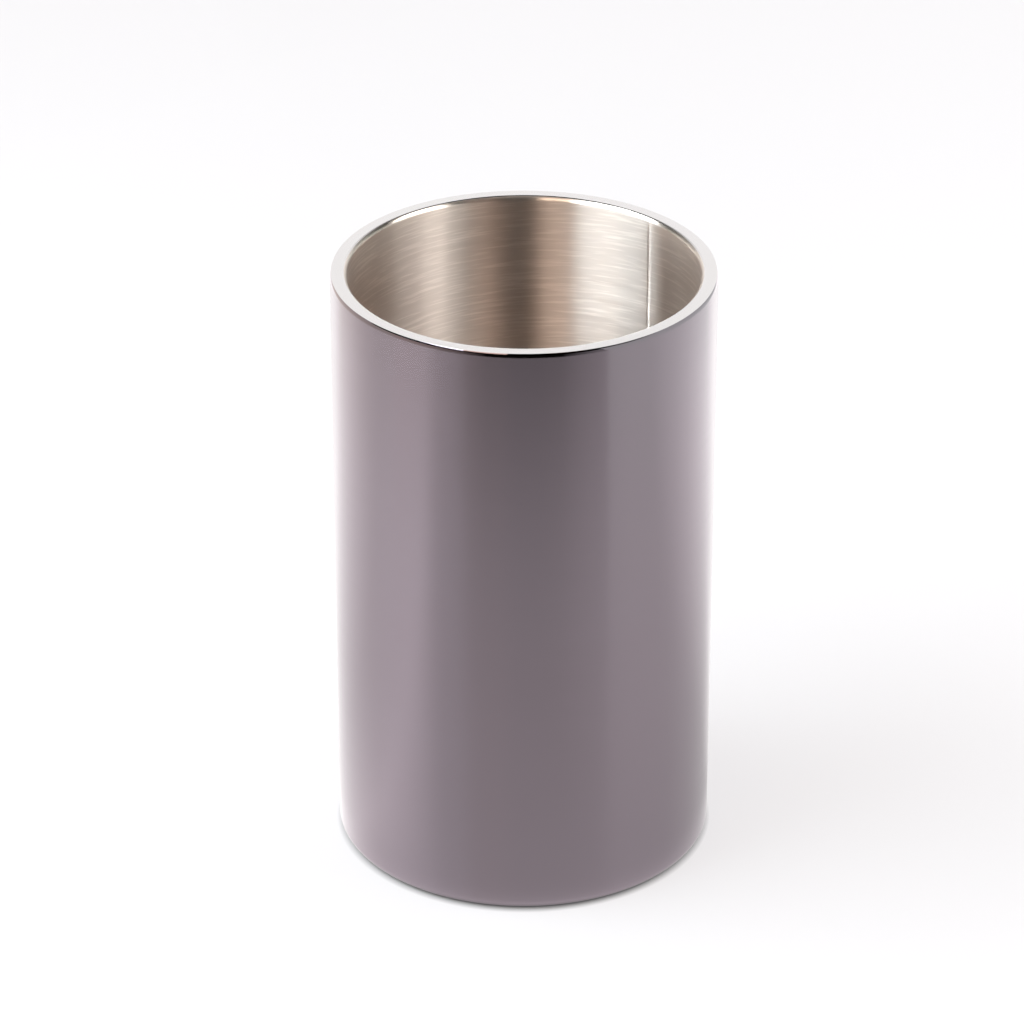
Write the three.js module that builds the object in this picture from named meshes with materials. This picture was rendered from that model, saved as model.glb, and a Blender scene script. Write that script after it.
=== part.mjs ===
// Double-walled steel bottle cooler: a dark plated outer shell, a brushed liner that hangs inside it
// from a flat rim, a pressed floor in the liner, and a pressed base closed by a plug and a foam pad.
// The walls have still air between them. Millimetres, +Z up, origin under the middle of the pad.
import * as THREE from "three";

// Driving dimensions.
const OUTER_RADIUS = 60;
const HEIGHT = 196;
const SHEET = 0.6; // thickness of every steel piece
const LINER_RADIUS = 54.8; // inside face of the well
const JOINT_GAP = 0.1; // at the welded and pressed joints

// Rim: the top of the shell curls in a little and is ground flush with the liner's flat flange.
const CURL_RADIUS = 2.6;
const CURL_ANGLE = Math.PI / 6;
const CURL_HEIGHT = CURL_RADIUS * Math.sin(CURL_ANGLE);
const CURL_INNER_ANGLE = Math.asin(CURL_HEIGHT / (CURL_RADIUS - SHEET));
const LINER_LIP_RADIUS = 1.5;

// Foot: the shell rolls in under itself and turns up into a neck that holds the base cover.
const PAD_STANDS_PROUD = 0.5;
const FOOT_RADIUS = 3;
const NECK_RADIUS = 51.4;
const NECK_TOP = 4.5;
const NECK_CORNER_RADIUS = 1.2;

// Well floor: a pan butt-welded to the bottom of the liner tube.
const LINER_BOTTOM = 13.5;
const FLOOR_TOP = 9;
const FLOOR_CORNER_RADIUS = 3;
const FLOOR_STEP_RADIUS = 38; // the middle is pressed up a little, which stiffens it
const FLOOR_STEP_WIDTH = 2.5;
const FLOOR_STEP_RISE = 0.8;

// Base cover, the vent in its middle, and what closes and covers them.
const COVER_UNDERSIDE = 2.5;
const VENT_RADIUS = 2;
const PLUG_CLEARANCE = 0.05;
const PLUG_HEAD_RADIUS = 3.6;
const PLUG_HEAD_THICKNESS = 0.8;
const PLUG_TOP = 4.2;
const PAD_RADIUS = 47.5;
const PAD_EDGE_RADIUS = 0.5;
const PAD_POCKET_RADIUS = 4.6;
const PAD_POCKET_DEPTH = 1.3;

// Mesh fineness.
const ROUND_SEGMENTS = 72;
const PLUG_SEGMENTS = 24;
const ARC_DIVISIONS = 2; // a path's arc gets twice this many steps

const EAST = 0;
const NORTH = Math.PI / 2;
const WEST = Math.PI;
const SOUTH = -Math.PI / 2;

// A straight line to the start of a round arc, and the arc. Profiles hold (radius, height) points.
function arc(path, centreRadius, centreHeight, radius, from, to, turn) {
  path.lineTo(centreRadius + radius * Math.cos(from), centreHeight + radius * Math.sin(from));
  path.absarc(centreRadius, centreHeight, radius, from, to, turn === "clockwise");
}

// Turns a profile about the Z axis. The path runs anticlockwise as seen with radius to the right.
function turned(path, segments) {
  const points = path.getPoints(ARC_DIVISIONS);
  const distinct = points.filter((p, i) => i === 0 || p.distanceTo(points[i - 1]) > 1e-6);
  const geometry = new THREE.LatheGeometry(distinct, segments);
  geometry.rotateX(Math.PI / 2);
  return geometry;
}

// Outside face from the neck down round the foot and up to the rim, then back down the hidden face.
function shellGeometry() {
  const foot = PAD_STANDS_PROUD;
  const footArc = [OUTER_RADIUS - FOOT_RADIUS, foot + FOOT_RADIUS];
  const neckArc = [NECK_RADIUS + NECK_CORNER_RADIUS, foot + NECK_CORNER_RADIUS];
  const curlArc = [OUTER_RADIUS - CURL_RADIUS, HEIGHT - CURL_HEIGHT];
  const path = new THREE.Path();
  path.moveTo(NECK_RADIUS, NECK_TOP);
  path.lineTo(NECK_RADIUS, neckArc[1]);
  arc(path, ...neckArc, NECK_CORNER_RADIUS, WEST, WEST + NORTH, "anticlockwise");
  arc(path, ...footArc, FOOT_RADIUS, SOUTH, EAST, "anticlockwise");
  arc(path, ...curlArc, CURL_RADIUS, EAST, CURL_ANGLE, "anticlockwise");
  arc(path, ...curlArc, CURL_RADIUS - SHEET, CURL_INNER_ANGLE, EAST, "clockwise");
  arc(path, ...footArc, FOOT_RADIUS - SHEET, EAST, SOUTH, "clockwise");
  arc(path, ...neckArc, NECK_CORNER_RADIUS - SHEET, WEST + NORTH, WEST, "clockwise");
  path.lineTo(NECK_RADIUS + SHEET, NECK_TOP);
  path.lineTo(NECK_RADIUS, NECK_TOP);
  return turned(path, ROUND_SEGMENTS);
}

// A tube whose top is spun outwards into the flat rim.
function linerGeometry() {
  const lipArc = [LINER_RADIUS + LINER_LIP_RADIUS, HEIGHT - LINER_LIP_RADIUS];
  const curlInside = OUTER_RADIUS - CURL_RADIUS + (CURL_RADIUS - SHEET) * Math.cos(CURL_INNER_ANGLE);
  const rimRadius = curlInside - JOINT_GAP;
  const path = new THREE.Path();
  path.moveTo(rimRadius, HEIGHT - SHEET);
  path.lineTo(rimRadius, HEIGHT);
  arc(path, ...lipArc, LINER_LIP_RADIUS, NORTH, WEST, "anticlockwise");
  path.lineTo(LINER_RADIUS, LINER_BOTTOM);
  path.lineTo(LINER_RADIUS + SHEET, LINER_BOTTOM);
  arc(path, ...lipArc, LINER_LIP_RADIUS - SHEET, WEST, NORTH, "clockwise");
  path.lineTo(rimRadius, HEIGHT - SHEET);
  return turned(path, ROUND_SEGMENTS);
}

// A pan with a rounded corner and a skirt as wide as the liner tube.
function floorGeometry() {
  const cornerArc = [LINER_RADIUS - FLOOR_CORNER_RADIUS, FLOOR_TOP + FLOOR_CORNER_RADIUS];
  const skirtTop = LINER_BOTTOM - JOINT_GAP;
  const underside = FLOOR_TOP - SHEET;
  const stepFoot = FLOOR_STEP_RADIUS + FLOOR_STEP_WIDTH;
  const path = new THREE.Path();
  path.moveTo(0, underside + FLOOR_STEP_RISE);
  path.lineTo(FLOOR_STEP_RADIUS, underside + FLOOR_STEP_RISE);
  path.lineTo(stepFoot, underside);
  arc(path, ...cornerArc, FLOOR_CORNER_RADIUS + SHEET, SOUTH, EAST, "anticlockwise");
  path.lineTo(LINER_RADIUS + SHEET, skirtTop);
  path.lineTo(LINER_RADIUS, skirtTop);
  arc(path, ...cornerArc, FLOOR_CORNER_RADIUS, EAST, SOUTH, "clockwise");
  path.lineTo(stepFoot, FLOOR_TOP);
  path.lineTo(FLOOR_STEP_RADIUS, FLOOR_TOP + FLOOR_STEP_RISE);
  path.lineTo(0, FLOOR_TOP + FLOOR_STEP_RISE);
  return turned(path, ROUND_SEGMENTS);
}

// A shallow pan pressed into the neck of the shell, with the vent hole in its middle.
function coverGeometry() {
  const skirt = NECK_RADIUS - JOINT_GAP;
  const cornerArc = [skirt - NECK_CORNER_RADIUS, COVER_UNDERSIDE + NECK_CORNER_RADIUS];
  const path = new THREE.Path();
  path.moveTo(VENT_RADIUS, COVER_UNDERSIDE);
  arc(path, ...cornerArc, NECK_CORNER_RADIUS, SOUTH, EAST, "anticlockwise");
  path.lineTo(skirt, NECK_TOP);
  path.lineTo(skirt - SHEET, NECK_TOP);
  arc(path, ...cornerArc, NECK_CORNER_RADIUS - SHEET, EAST, SOUTH, "clockwise");
  path.lineTo(VENT_RADIUS, COVER_UNDERSIDE + SHEET);
  path.lineTo(VENT_RADIUS, COVER_UNDERSIDE);
  return turned(path, ROUND_SEGMENTS);
}

// A rubber bung in the vent hole, head downwards.
function plugGeometry() {
  const headTop = COVER_UNDERSIDE - JOINT_GAP;
  const headBottom = headTop - PLUG_HEAD_THICKNESS;
  const pin = VENT_RADIUS - PLUG_CLEARANCE;
  const bevel = PLUG_HEAD_THICKNESS / 2;
  const path = new THREE.Path();
  path.moveTo(0, headBottom);
  path.lineTo(PLUG_HEAD_RADIUS - bevel, headBottom);
  path.lineTo(PLUG_HEAD_RADIUS, headBottom + bevel);
  path.lineTo(PLUG_HEAD_RADIUS, headTop);
  path.lineTo(pin, headTop);
  path.lineTo(pin, PLUG_TOP - bevel);
  path.lineTo(pin - bevel, PLUG_TOP);
  path.lineTo(0, PLUG_TOP);
  return turned(path, PLUG_SEGMENTS);
}

// The foam disc glued under the cover, with a pocket above for the head of the plug.
function padGeometry() {
  const top = COVER_UNDERSIDE - JOINT_GAP;
  const pocketFloor = top - PAD_POCKET_DEPTH;
  const path = new THREE.Path();
  path.moveTo(0, 0);
  arc(path, PAD_RADIUS - PAD_EDGE_RADIUS, PAD_EDGE_RADIUS, PAD_EDGE_RADIUS, SOUTH, EAST, "anticlockwise");
  path.lineTo(PAD_RADIUS, top);
  path.lineTo(PAD_POCKET_RADIUS, top);
  path.lineTo(PAD_POCKET_RADIUS, pocketFloor);
  path.lineTo(0, pocketFloor);
  return turned(path, ROUND_SEGMENTS);
}

const gunmetal = new THREE.MeshStandardMaterial({ color: 0x5f5a60, metalness: 1, roughness: 0.22 });
const brushedSteel = new THREE.MeshStandardMaterial({ color: 0xc9c1b8, metalness: 1, roughness: 0.28 });
const rubber = new THREE.MeshStandardMaterial({ color: 0x242424, metalness: 0, roughness: 0.7 });
const foam = new THREE.MeshStandardMaterial({ color: 0x161617, metalness: 0, roughness: 0.9 });

const pieces = [
  ["outer_shell", shellGeometry, gunmetal],
  ["inner_liner", linerGeometry, brushedSteel],
  ["liner_floor", floorGeometry, brushedSteel],
  ["base_cover", coverGeometry, gunmetal],
  ["vent_plug", plugGeometry, rubber],
  ["base_pad", padGeometry, foam],
];

const cooler = new THREE.Group();
for (const [name, makeGeometry, material] of pieces) {
  const mesh = new THREE.Mesh(makeGeometry(), material);
  mesh.name = name;
  cooler.add(mesh);
}

export default cooler;
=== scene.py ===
"""The looks of a double-walled bottle cooler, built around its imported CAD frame. Metres, +Z up."""
import math

import bpy
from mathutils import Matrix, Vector


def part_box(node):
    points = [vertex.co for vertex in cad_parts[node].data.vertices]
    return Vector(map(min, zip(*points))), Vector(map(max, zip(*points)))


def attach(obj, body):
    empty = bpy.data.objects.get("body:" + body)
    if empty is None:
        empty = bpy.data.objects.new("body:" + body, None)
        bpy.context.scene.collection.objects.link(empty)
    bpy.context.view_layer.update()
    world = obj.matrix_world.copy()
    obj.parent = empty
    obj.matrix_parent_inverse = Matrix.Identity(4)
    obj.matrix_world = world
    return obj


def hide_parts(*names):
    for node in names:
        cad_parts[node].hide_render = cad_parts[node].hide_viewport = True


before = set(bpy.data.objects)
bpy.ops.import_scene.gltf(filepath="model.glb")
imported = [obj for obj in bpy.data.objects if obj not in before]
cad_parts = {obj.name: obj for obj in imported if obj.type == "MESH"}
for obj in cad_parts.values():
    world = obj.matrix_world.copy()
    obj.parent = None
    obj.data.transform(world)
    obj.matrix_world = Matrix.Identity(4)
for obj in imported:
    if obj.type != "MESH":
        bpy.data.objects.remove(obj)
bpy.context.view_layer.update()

# ---------------------------------------------------------------- sizes that the frame's boxes don't give
MM = 0.001
SHEET = 0.6 * MM
JOINT_GAP = 0.1 * MM
CURL_RADIUS = 2.6 * MM  # the top of the shell curls in by CURL_ANGLE and is ground flush with the rim
CURL_ANGLE = math.radians(30)
CURL_HEIGHT = CURL_RADIUS * math.sin(CURL_ANGLE)
CURL_INNER_ANGLE = math.asin(CURL_HEIGHT / (CURL_RADIUS - SHEET))
LINER_LIP_RADIUS = 1.5 * MM
FOOT_RADIUS = 3 * MM
NECK_CORNER_RADIUS = 1.2 * MM
FLOOR_CORNER_RADIUS = 3 * MM
FLOOR_STEP_RADIUS = 38 * MM
FLOOR_STEP_WIDTH = 2.5 * MM
FLOOR_STEP_RISE = 0.8 * MM
VENT_RADIUS = 2 * MM
PAD_EDGE_RADIUS = 0.5 * MM
PAD_POCKET_RADIUS = 4.6 * MM
PAD_POCKET_DEPTH = 1.3 * MM

# The liner's weld seam runs down the well, at this bearing from +X towards +Y.
SEAM_BEARING = math.radians(43.5)
SEAM_HALF_WIDTH = 0.55 * MM
SEAM_HEIGHT = 0.11 * MM
SEAM_RIPPLE = 0.25  # how much of the weld's height ripples along its length
SEAM_RIPPLE_LENGTHS = (0.9 * MM, 2.3 * MM)
SEAM_PEAK_WIDTH = 5 * MM  # the sheet bends inwards a little on both sides of the weld
SEAM_PEAK_HEIGHT = 0.15 * MM
SEAM_FADE = 2 * MM  # below the lip, both grow to full height over this distance

# Fineness of the turned surfaces.
ROUND_SEGMENTS = 360
ARC_STEP = math.radians(6)
LONG_STRETCH = 2 * MM  # a longer straight stretch gets a loop near each end, for straight shading
SUPPORT = 0.25 * MM  # how far inside the end that loop is
LINER_SEGMENTS = 720  # finer than the other pieces, for the weld
LINER_ROWS = 95
ON_AXIS = 1e-9
FLATNESS = 0.01 * MM
SHARP_ANGLE = math.radians(35)

EAST, NORTH, WEST, SOUTH = 0.0, math.pi / 2, math.pi, -math.pi / 2


class Sizes:
    """What the pieces share, from the frame's boxes."""
    shell_low, shell_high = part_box("outer_shell")
    liner_low, liner_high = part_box("inner_liner")
    floor_low, floor_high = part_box("liner_floor")
    cover_low, cover_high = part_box("base_cover")
    pad_low, pad_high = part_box("base_pad")
    well_radius = floor_high.x - SHEET


# ---------------------------------------------------------------- turned meshes
def arc(centre, radius, start, end):
    """Points of a round arc in the profile plane, which holds (radius, height)."""
    steps = max(2, round(abs(end - start) / ARC_STEP))
    angles = [start + (end - start) * i / steps for i in range(steps + 1)]
    return [(centre[0] + radius * math.cos(a), centre[1] + radius * math.sin(a)) for a in angles]


def with_support_loops(points, closed):
    """The profile with an extra point near each end of every long straight stretch."""
    result = []
    count = len(points)
    for i, here in enumerate(points):
        result.append(here)
        if i == count - 1 and not closed:
            break
        ahead = points[(i + 1) % count]
        length = math.dist(here, ahead)
        if length > LONG_STRETCH:
            for share in (SUPPORT / length, 1 - SUPPORT / length):
                result.append(tuple(a + (b - a) * share for a, b in zip(here, ahead)))
    return result


def turned(name, points, materials, closed=True, segments=ROUND_SEGMENTS, shift=None, slot_at=None):
    """A mesh object turned about Z. shift(bearing, radius, height) moves a point outwards, and
    slot_at(radius, height) picks a face's material. An open profile starts and ends on the axis."""
    profile = with_support_loops(points, closed)
    vertices, faces, rings = [], [], []
    for radius, height in profile:
        if radius < ON_AXIS:
            rings.append([len(vertices)] * segments)
            vertices.append((0.0, 0.0, height))
            continue
        rings.append(range(len(vertices), len(vertices) + segments))
        for k in range(segments):
            bearing = 2 * math.pi * k / segments
            r = radius + (shift(bearing, radius, height) if shift else 0.0)
            vertices.append((r * math.cos(bearing), r * math.sin(bearing), height))
    pairs = list(zip(rings, rings[1:]))
    if closed:
        pairs.append((rings[-1], rings[0]))
    for low, high in pairs:
        for k in range(segments):
            following = (k + 1) % segments
            corners = [low[k], low[following], high[following], high[k]]
            faces.append(tuple(dict.fromkeys(corners)))
    mesh = bpy.data.meshes.new(name)
    mesh.from_pydata(vertices, [], faces)
    for material in materials:
        mesh.materials.append(material)
    if slot_at:
        for face in mesh.polygons:
            centre = face.center
            face.material_index = slot_at(math.hypot(centre.x, centre.y), centre.z)
    mesh.shade_smooth()
    mesh.set_sharp_from_angle(angle=SHARP_ANGLE)
    piece = bpy.data.objects.new(name, mesh)
    bpy.context.scene.collection.objects.link(piece)
    return piece


# ---------------------------------------------------------------- materials
class Nodes:
    """A material's node tree with short calls for the nodes used here."""

    def __init__(self, name):
        self.material = bpy.data.materials.new(name)
        self.material.use_nodes = True
        self.tree = self.material.node_tree
        self.shader = self.tree.nodes["Principled BSDF"]
        self.position = self.add("ShaderNodeTexCoord").outputs["Object"]

    def add(self, kind, **settings):
        node = self.tree.nodes.new(kind)
        for key, value in settings.items():
            setattr(node, key, value)
        return node

    def link(self, source, target):
        self.tree.links.new(source, target)

    def set(self, **values):
        """Values on the shader's own sockets. Underscores stand for spaces."""
        for key, value in values.items():
            self.shader.inputs[key.replace("_", " ")].default_value = value

    def feed(self, **sources):
        """Links into the shader's own sockets. Underscores stand for spaces."""
        for key, source in sources.items():
            self.link(source, self.shader.inputs[key.replace("_", " ")])

    def place(self):
        """The place in the object, as X, Y and Z."""
        node = self.add("ShaderNodeSeparateXYZ")
        self.link(self.position, node.inputs["Vector"])
        return node.outputs

    def scaled(self, scale, offset=(0, 0, 0), turn=(0, 0, 0)):
        """The place in the object, scaled along axes that are turned first."""
        turned_place = self.position
        if any(turn):
            node = self.add("ShaderNodeVectorRotate", rotation_type="EULER_XYZ")
            node.inputs["Rotation"].default_value = turn
            self.link(turned_place, node.inputs["Vector"])
            turned_place = node.outputs["Vector"]
        node = self.add("ShaderNodeMapping")
        node.inputs["Scale"].default_value = scale
        node.inputs["Location"].default_value = offset
        self.link(turned_place, node.inputs["Vector"])
        return node.outputs["Vector"]

    def noise(self, vector, detail=2.0, roughness=0.5):
        node = self.add("ShaderNodeTexNoise")
        node.inputs["Scale"].default_value = 1.0
        node.inputs["Detail"].default_value = detail
        node.inputs["Roughness"].default_value = roughness
        self.link(vector, node.inputs["Vector"])
        return node.outputs["Fac"]

    def ramp(self, value, low, high, to_low=0.0, to_high=1.0):
        """Goes from to_low to to_high as the value goes from low to high, and stays there beyond."""
        node = self.add("ShaderNodeMapRange")
        ends = {"From Min": low, "From Max": high, "To Min": to_low, "To Max": to_high}
        for socket, number in ends.items():
            node.inputs[socket].default_value = number
        self.link(value, node.inputs["Value"])
        return node.outputs["Result"]

    def math(self, operation, a, b=0.0):
        node = self.add("ShaderNodeMath", operation=operation)
        for socket, value in zip(node.inputs, (a, b)):
            if isinstance(value, (int, float)):
                socket.default_value = value
            else:
                self.link(value, socket)
        return node.outputs["Value"]

    def away(self):
        """How far the place is from the object's origin."""
        node = self.add("ShaderNodeVectorMath", operation="LENGTH")
        self.link(self.position, node.inputs[0])
        return node.outputs["Value"]

    def mix(self, share, a, b):
        """A colour between a and b."""
        node = self.add("ShaderNodeMix", data_type="RGBA")
        node.inputs[6].default_value = (*a, 1)
        node.inputs[7].default_value = (*b, 1)
        self.link(share, node.inputs[0])
        return node.outputs[2]

    def bump(self, height, distance):
        node = self.add("ShaderNodeBump")
        node.inputs["Distance"].default_value = distance
        self.link(height, node.inputs["Height"])
        self.feed(Normal=node.outputs["Normal"])

    def brushed_round_z(self):
        """Brushing that runs round the Z axis, so that highlights spread along it."""
        tangent = self.add("ShaderNodeTangent", direction_type="RADIAL", axis="Z")
        self.feed(Tangent=tangent.outputs["Tangent"])
        self.set(Anisotropic=1.0, Anisotropic_Rotation=0.25)


def shell_plating():
    """Dark glossy plating over a fine brushing. The curl at the rim is smoother and mirrors sharply."""
    n = Nodes("shell_plating")
    n.set(Metallic=1.0)
    n.brushed_round_z()
    streaks = n.noise(n.scaled((18, 18, 2600)), detail=4, roughness=0.65)
    patches = n.noise(n.scaled((9, 9, 16)))
    curl_foot = Sizes.shell_high.z - 1.1 * CURL_HEIGHT
    on_curl = n.ramp(n.place()["Z"], curl_foot, curl_foot + 0.4 * MM, 1.0, 0.25)
    n.feed(Roughness=n.math("MULTIPLY", n.ramp(streaks, 0.3, 0.7, 0.19, 0.22), on_curl),
           Base_Color=n.mix(patches, (0.214, 0.178, 0.202), (0.228, 0.194, 0.221)))
    n.bump(streaks, 0.0015 * MM)
    return n.material


def weld_share(n):
    """How much of the weld seam is at a place: it is patchy, and weaker near the rim."""
    place = n.place()
    across = n.math("SUBTRACT", n.math("MULTIPLY", place["X"], math.sin(SEAM_BEARING)),
                    n.math("MULTIPLY", place["Y"], math.cos(SEAM_BEARING)))
    near_seam = n.ramp(n.math("ABSOLUTE", across), 0.2 * MM, 0.5 * MM, 1.0, 0.0)
    on_that_side = n.ramp(place["Y"], 0.0, 1 * MM)
    patchy = n.ramp(n.noise(n.scaled((1, 1, 260))), 0.40, 0.60)
    top = Sizes.liner_high.z
    deeper = n.ramp(place["Z"], top - 30 * MM, top - 18 * MM, 1.0, 0.25)
    on_seam = n.math("MULTIPLY", near_seam, on_that_side)
    return n.math("MULTIPLY", on_seam, n.math("MULTIPLY", patchy, deeper))


def brushed_steel():
    """Steel brushed round the well, with light streaks that run a little askew. The weld seam is duller,
    so it catches more of the light from above."""
    n = Nodes("liner_brushed_steel")
    n.set(Metallic=0.985)
    n.brushed_round_z()
    fine = n.noise(n.scaled((14, 14, 2400)), detail=4, roughness=0.6)
    coarse = n.noise(n.scaled((20, 20, 700), offset=(3, 1, 2)), detail=3, roughness=0.6)
    brushing = n.math("ADD", n.math("MULTIPLY", fine, 0.45), n.math("MULTIPLY", coarse, 0.55))
    askew = n.scaled((75, 75, 1300), offset=(1, 2, 5), turn=(math.radians(3), math.radians(4), 0))
    streaks = n.ramp(n.noise(askew), 0.50, 0.68)
    tone = n.math("ADD", n.math("MULTIPLY", coarse, 0.5), n.math("MULTIPLY", streaks, 0.5))
    steel_roughness = n.ramp(brushing, 0.35, 0.65, 0.275, 0.310)
    n.feed(Roughness=n.math("ADD", steel_roughness, n.math("MULTIPLY", weld_share(n), 0.25)),
           Base_Color=n.mix(tone, (0.63, 0.555, 0.505), (0.86, 0.780, 0.725)))
    n.bump(brushing, 0.02 * MM)
    return n.material


def polished_steel():
    n = Nodes("rim_polished_steel")
    n.set(Metallic=1.0)
    lines = n.noise(n.scaled((25, 25, 900)), detail=3)
    n.feed(Roughness=n.ramp(lines, 0.3, 0.7, 0.12, 0.18),
           Base_Color=n.mix(lines, (0.645, 0.620, 0.615), (0.675, 0.655, 0.650)))
    return n.material


def pad_foam():
    n = Nodes("pad_foam")
    n.set(Roughness=0.9)
    cells = n.add("ShaderNodeTexVoronoi")
    cells.inputs["Scale"].default_value = 1800
    n.link(n.position, cells.inputs["Vector"])
    n.feed(Base_Color=n.mix(cells.outputs["Distance"], (0.010, 0.010, 0.011), (0.022, 0.022, 0.023)))
    n.bump(cells.outputs["Distance"], 0.12 * MM)
    return n.material


def plug_rubber():
    n = Nodes("plug_rubber")
    grain = n.noise(n.scaled((2500, 2500, 2500)))
    n.feed(Roughness=n.ramp(grain, 0.3, 0.7, 0.6, 0.8),
           Base_Color=n.mix(grain, (0.016, 0.016, 0.016), (0.026, 0.026, 0.026)))
    return n.material


# ---------------------------------------------------------------- the pieces
def make_shell(plating, ground_steel):
    foot, top, radius = Sizes.shell_low.z, Sizes.shell_high.z, Sizes.shell_high.x
    neck = Sizes.cover_high.x + JOINT_GAP
    neck_top = Sizes.cover_high.z
    foot_arc = (radius - FOOT_RADIUS, foot + FOOT_RADIUS)
    neck_arc = (neck + NECK_CORNER_RADIUS, foot + NECK_CORNER_RADIUS)
    curl_arc = (radius - CURL_RADIUS, top - CURL_HEIGHT)
    profile = [(neck, neck_top)]
    profile += arc(neck_arc, NECK_CORNER_RADIUS, WEST, WEST + NORTH)
    profile += arc(foot_arc, FOOT_RADIUS, SOUTH, EAST)
    profile += arc(curl_arc, CURL_RADIUS, EAST, CURL_ANGLE)
    profile += arc(curl_arc, CURL_RADIUS - SHEET, CURL_INNER_ANGLE, EAST)
    profile += arc(foot_arc, FOOT_RADIUS - SHEET, EAST, SOUTH)
    profile += arc(neck_arc, NECK_CORNER_RADIUS - SHEET, WEST + NORTH, WEST)
    profile.append((neck + SHEET, neck_top))

    def slot_at(face_radius, face_height):
        return 1 if face_height > top - FLATNESS else 0

    return turned("shell_plated", profile, [plating, ground_steel], slot_at=slot_at)


def seam_bead(bearing, radius, height):
    """The weld and the bent sheet beside it stand into the well, below the lip. The answer is less than
    0 there, because it counts outwards."""
    if radius > Sizes.well_radius + 0.5 * SHEET:
        return 0.0
    below_lip = Sizes.liner_high.z - LINER_LIP_RADIUS - height
    fade = min(1.0, max(0.0, below_lip / SEAM_FADE))
    aside = abs(math.remainder(bearing - SEAM_BEARING, 2 * math.pi)) * Sizes.well_radius
    inwards = SEAM_PEAK_HEIGHT * math.exp(-aside / SEAM_PEAK_WIDTH)
    if aside < SEAM_HALF_WIDTH:
        ripple = 1 + SEAM_RIPPLE * math.prod(math.sin(height / length) for length in SEAM_RIPPLE_LENGTHS)
        inwards += SEAM_HEIGHT * ripple * 0.5 * (1 + math.cos(math.pi * aside / SEAM_HALF_WIDTH))
    return -inwards * fade


def make_liner(brushed, polished):
    """The tube of the well, whose flat rim reaches the shell, because that joint is ground over."""
    bottom, top, rim = Sizes.liner_low.z, Sizes.liner_high.z, Sizes.liner_high.x + JOINT_GAP
    radius = Sizes.well_radius
    lip_arc = (radius + LINER_LIP_RADIUS, top - LINER_LIP_RADIUS)
    row_height = (lip_arc[1] - bottom) / LINER_ROWS
    profile = [(rim, top - SHEET), (rim, top)]
    profile += arc(lip_arc, LINER_LIP_RADIUS, NORTH, WEST)
    profile += [(radius, lip_arc[1] - row_height * i) for i in range(1, LINER_ROWS + 1)]
    profile.append((radius + SHEET, bottom))
    profile += arc(lip_arc, LINER_LIP_RADIUS - SHEET, WEST, NORTH)
    lip_foot = top - 0.1 * LINER_LIP_RADIUS

    def slot_at(face_radius, face_height):
        return 1 if face_height > lip_foot else 0

    return turned("liner_brushed", profile, [brushed, polished], shift=seam_bead, slot_at=slot_at,
                  segments=LINER_SEGMENTS)


def make_floor(material):
    low, high, skirt = Sizes.floor_low.z, Sizes.floor_high.z, Sizes.floor_high.x
    top = low + SHEET
    radius = Sizes.well_radius
    corner_arc = (radius - FLOOR_CORNER_RADIUS, top + FLOOR_CORNER_RADIUS)
    step_foot = FLOOR_STEP_RADIUS + FLOOR_STEP_WIDTH
    profile = [(0, low + FLOOR_STEP_RISE), (FLOOR_STEP_RADIUS, low + FLOOR_STEP_RISE), (step_foot, low)]
    profile += arc(corner_arc, FLOOR_CORNER_RADIUS + SHEET, SOUTH, EAST)
    profile += [(skirt, high), (radius, high)]
    profile += arc(corner_arc, FLOOR_CORNER_RADIUS, EAST, SOUTH)
    profile += [(step_foot, top), (FLOOR_STEP_RADIUS, top + FLOOR_STEP_RISE), (0, top + FLOOR_STEP_RISE)]
    return turned("well_floor", profile, [material], closed=False)


def make_cover(material):
    low, high, skirt = Sizes.cover_low.z, Sizes.cover_high.z, Sizes.cover_high.x
    corner_arc = (skirt - NECK_CORNER_RADIUS, low + NECK_CORNER_RADIUS)
    profile = [(VENT_RADIUS, low)]
    profile += arc(corner_arc, NECK_CORNER_RADIUS, SOUTH, EAST)
    profile += [(skirt, high), (skirt - SHEET, high)]
    profile += arc(corner_arc, NECK_CORNER_RADIUS - SHEET, EAST, SOUTH)
    profile.append((VENT_RADIUS, low + SHEET))
    return turned("underside_cover", profile, [material])


def make_pad(material):
    low, high, radius = Sizes.pad_low.z, Sizes.pad_high.z, Sizes.pad_high.x
    profile = [(0, low)]
    profile += arc((radius - PAD_EDGE_RADIUS, low + PAD_EDGE_RADIUS), PAD_EDGE_RADIUS, SOUTH, EAST)
    profile += [(radius, high), (PAD_POCKET_RADIUS, high)]
    profile += [(PAD_POCKET_RADIUS, high - PAD_POCKET_DEPTH), (0, high - PAD_POCKET_DEPTH)]
    return turned("foam_pad", profile, [material], closed=False)


def add_piece(piece, node):
    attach(piece, "root")
    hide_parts(node)


plating = shell_plating()
brushed = brushed_steel()
polished = polished_steel()
add_piece(make_shell(plating, polished), "outer_shell")
add_piece(make_liner(brushed, polished), "inner_liner")
add_piece(make_floor(brushed), "liner_floor")
add_piece(make_cover(plating), "base_cover")
add_piece(make_pad(pad_foam()), "base_pad")
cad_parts["vent_plug"].data.materials[0] = plug_rubber()


# ---------------------------------------------------------------- stage
FLOOR_HALF = 8.0
SHEEN_HALF = 3.0
SHEEN_HEIGHT = 0.2 * MM
FOOT_LINE = Sizes.shell_high.x - FOOT_RADIUS  # where the foot meets the floor
BEYOND_FOOT = Sizes.shell_high.x + 1 * MM
CARD_STEPS = 48


def sheet_object(name, vertices, faces, material):
    """A mesh of the stage."""
    mesh = bpy.data.meshes.new(name)
    mesh.from_pydata(vertices, [], faces)
    mesh.materials.append(material)
    sheet = bpy.data.objects.new(name, mesh)
    bpy.context.scene.collection.objects.link(sheet)
    return sheet


def level_square(name, half, height, material):
    corners = [(-half, -half, height), (half, -half, height), (half, half, height), (-half, half, height)]
    return sheet_object(name, corners, [(0, 1, 2, 3)], material)


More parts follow.
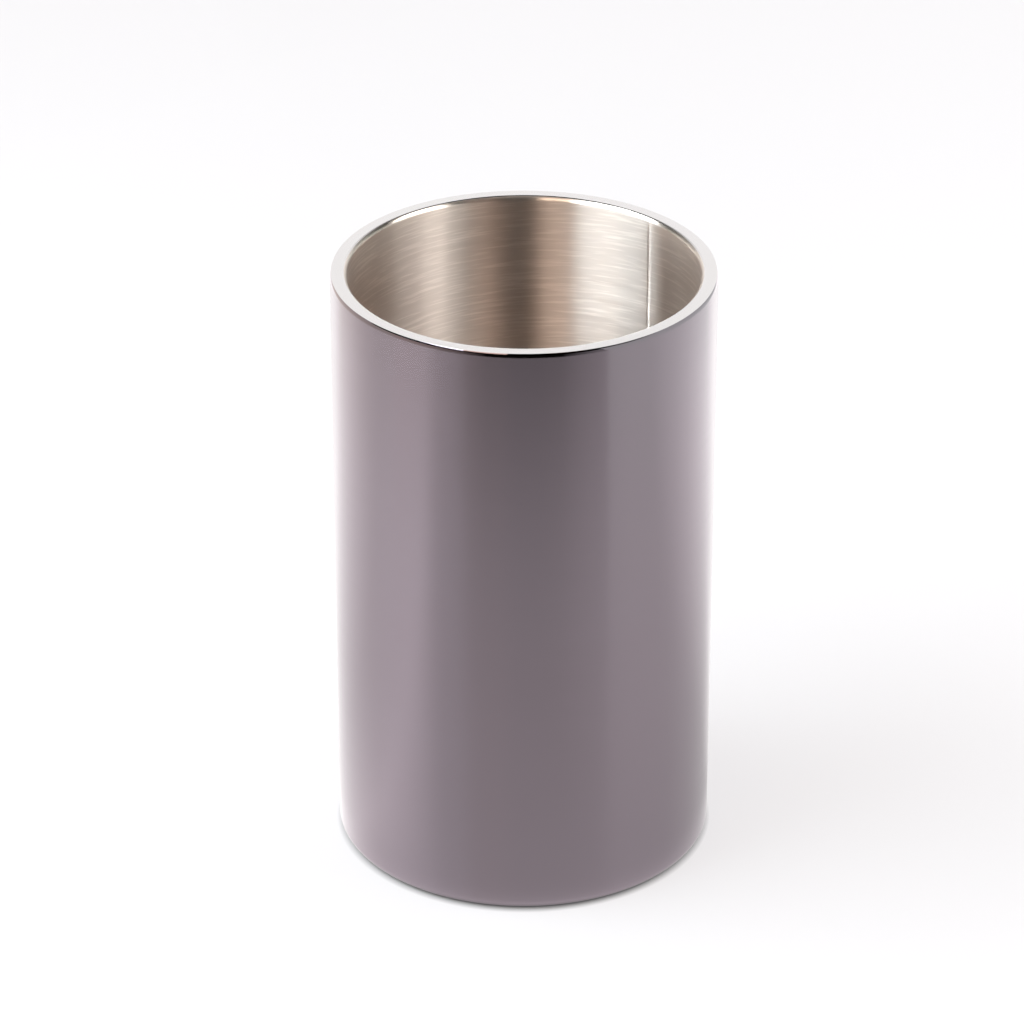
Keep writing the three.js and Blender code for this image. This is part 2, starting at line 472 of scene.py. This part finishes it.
def make_floor_plane():
    """A plain floor that looks white in this light. It glows a little, which is painted light, except
    under the foot, where the missing glow is a painted contact shadow.
    """
    n = Nodes("stage_floor")
    n.set(Base_Color=(0.135, 0.132, 0.135, 1), Roughness=0.8, Specular_IOR_Level=0.2,
          Emission_Color=(1, 0.98, 0.99, 1))
    # painted light and shadow: the glow stands in for ambient light, and it fades out towards the foot as
    # a painted contact shadow
    n.feed(Emission_Strength=n.ramp(n.away(), FOOT_LINE, BEYOND_FOOT, 0.0, 0.62))
    level_square("stage_floor", FLOOR_HALF, 0.0, n.material)


def unlit(name, colour):
    """A material that only glows."""
    n = Nodes(name)
    n.set(Base_Color=(0, 0, 0, 1), Specular_IOR_Level=0.0, Roughness=1.0, Emission_Color=(*colour, 1))
    return n


def only_in_reflections(sheet, lights_the_floor=False):
    # the sheet is seen only in reflections and casts no shadow: a painted reflection, unless it also
    # lights the floor as a lamp
    sheet.visible_camera = False
    sheet.visible_shadow = False
    sheet.visible_diffuse = lights_the_floor


def add_painted_floor_reflection():
    """A painted reflection of the floor: a glowing sheet that only the metal sees, whose brightness is
    painted light. It is brighter behind the cooler on both sides, most of all close to the foot on the
    left, has a painted bright ring just outside the foot, and is dark under the foot, which is a painted
    shadow."""
    n = unlit("painted_floor_reflection", (1, 0.99, 0.98))
    place = n.place()

    def glow(x_share, y_share, low, high, most):
        """Grows from 0 to most on the way from low to high, in the direction of the shares."""
        along = n.math("ADD", n.math("MULTIPLY", place["X"], x_share),
                       n.math("MULTIPLY", place["Y"], y_share))
        return n.ramp(along, low, high, 0.0, most)

    # painted light: these glows stand in for the floor lit beside and behind the cooler, strongest near
    # the foot on the left
    near_foot = n.ramp(n.away(), 0.07, 0.15, 1.75, 1.0)
    left = n.math("ADD", n.math("MULTIPLY", glow(-0.6, 0.8, -0.03, 0.03, 0.55), near_foot),
                  glow(-0.2, 0.98, 0.06, 0.26, 0.60))
    right = n.math("ADD", glow(0.5, 0.87, 0.10, 0.34, 1.1), glow(1, 0, 0.05, 0.20, 0.15))
    behind = n.math("MAXIMUM", place["Y"], 0.05)
    aside = n.ramp(n.math("DIVIDE", n.math("ABSOLUTE", place["X"]), behind), 0.1, 0.7, 0.1, 1.0)
    both_sides = n.math("MULTIPLY", n.math("MAXIMUM", left, right), aside)
    # painted highlight: a bright ring just outside the foot, fading out by 70 mm
    plain = n.math("ADD", n.ramp(n.away(), BEYOND_FOOT, 0.070, 0.4, 0.0), 0.97)
    # painted shadow: the reflection goes dark under the foot
    painted_foot_shadow_mask = n.ramp(n.away(), 0.0565, BEYOND_FOOT)
    n.feed(Emission_Strength=n.math("MULTIPLY", n.math("ADD", both_sides, plain), painted_foot_shadow_mask))
    only_in_reflections(level_square("painted_floor_reflection", SHEEN_HALF, SHEEN_HEIGHT, n.material))


def add_card(name, bearings, distance, heights, radiance, along="Z", fade=(0, 1), colour=(1, 1, 1),
             lights_the_floor=False, lean=(0, 0)):
    """A curved glowing card that stands round the cooler, for the bright metal to reflect: a painted
    reflection, which lights the floor like a lamp only when lights_the_floor is set. Bearings are degrees
    from -Y towards
    +X, and lean is how much further each end's top stands. Its radiance goes from radiance[0] to
    radiance[1] as the place along an axis goes over the range fade."""
    vertices, faces = [], []
    for k in range(CARD_STEPS + 1):
        for height, leaning in zip(heights, (0, 1)):
            start, end = [math.radians(b + leaning * extra) for b, extra in zip(bearings, lean)]
            bearing = start + (end - start) * k / CARD_STEPS
            vertices.append((distance * math.sin(bearing), -distance * math.cos(bearing), height))
        if k < CARD_STEPS:
            faces.append((2 * k, 2 * k + 2, 2 * k + 3, 2 * k + 1))
    n = unlit(name, colour)
    n.feed(Emission_Strength=n.ramp(n.place()[along], *fade, *radiance))
    only_in_reflections(sheet_object(name, vertices, faces, n.material), lights_the_floor)


def add_softboxes():
    """High up, the key on the left and the fill on the right, each with an edge towards the middle, and a
    weak card overhead. The fill's edge and the overhead card light nothing: they are painted reflections."""
    distance, key_heights, fill_heights = 0.85, (0.50, 1.75), (0.55, 1.60)
    add_card("key_softbox", (-97, -34), distance, key_heights, (11.5, 15.5), "X", (-0.48, -0.75),
             (0.88, 0.965, 1), lights_the_floor=True, lean=(-38, -17))
    add_card("key_edge", (-34, -9), distance, key_heights, (2.9, 2.9), colour=(1, 0.80, 0.64),
             lights_the_floor=True, lean=(-17, -8))
    add_card("fill_softbox", (50.5, 98), distance, fill_heights, (9.8, 7.0), "Y", (-0.50, 0.0),
             (1, 0.98, 0.95), lights_the_floor=True, lean=(32, 25))
    # painted reflection: a faint warm edge to the fill, seen only in the metal
    add_card("fill_edge", (14, 38), distance, fill_heights, (0.2, 0.2), colour=(1, 0.60, 0.40),
             lean=(8, 18))
    # painted reflection: a weak glowing card overhead, seen only in the metal
    overhead = unlit("overhead_card", (1, 0.9, 0.85))
    overhead.set(Emission_Strength=0.45)
    only_in_reflections(level_square("overhead_card", 0.5, 1.5, overhead.material))


def add_low_cards():
    """Painted reflections of the sides, the front and the back, which only the shell and the rim mirror:
    glowing cards that light nothing, and nearly black cards in front, a painted dark reflection.
    """
    far, near, heights = 1.6, 0.45, (0, 0.25)
    # these cards light nothing: each is a painted reflection
    add_card("backdrop", (95, 265), far, (0, 0.6), (1.1, 1.1))
    add_card("rim_card", (150, 210), far, (0.6, 1.6), (1.27, 0.4), "Z", (1.05, 1.5))
    add_card("side_card", (48, 130), near, (0, 0.30), (1.1, 1.45), "Y", (-0.30, 0.17), (0.91, 1, 0.95),
             lean=(-8, 25))
    add_card("left_card", (-130, -75), near, heights, (0.9, 1.7), "Y", (0, 0.29), (1, 0.94, 0.83),
             lean=(-25, 0))
    # painted dark reflection: nearly black, glowing warm only towards its left end
    add_card("black_card", (-75, 20), near, heights, (0.9, 0.01), "X", (-0.42, -0.15), (1, 0.88, 0.78))
    # painted dark reflection: nearly black, brightening towards its right end
    add_card("dim_card", (20, 48), near, heights, (0.01, 0.6), "X", (0.154, 0.334), lean=(0, -8))


def make_world():
    """White ambient light. Metal doesn't mirror it: that shows the cards, and darkness between them."""
    world = bpy.data.worlds.new("studio")
    world.use_nodes = True
    background = world.node_tree.nodes["Background"]
    background.inputs["Color"].default_value = (1, 0.995, 1, 1)
    background.inputs["Strength"].default_value = 1.3
    world.cycles_visibility.glossy = False
    bpy.context.scene.world = world


def make_camera():
    """Where the photograph was taken from: in front, on the -Y side, about a metre and a half away."""
    distance, elevation = 1.528, math.radians(28.29)
    pitch, yaw = math.radians(27.85), math.radians(-0.159)
    data = bpy.data.cameras.new("camera")
    data.lens = 168.75
    data.clip_end = 50
    camera = bpy.data.objects.new("camera", data)
    middle = Sizes.shell_high.z / 2
    camera.location = (0, -distance * math.cos(elevation), middle + distance * math.sin(elevation))
    aim = Vector((math.sin(yaw) * math.cos(pitch), math.cos(yaw) * math.cos(pitch), -math.sin(pitch)))
    camera.rotation_euler = aim.to_track_quat("-Z", "Y").to_euler()
    bpy.context.scene.collection.objects.link(camera)
    bpy.context.scene.camera = camera


make_camera()
make_floor_plane()
make_world()
add_painted_floor_reflection()
add_softboxes()
add_low_cards()
bpy.context.scene.view_settings.view_transform = "Standard"
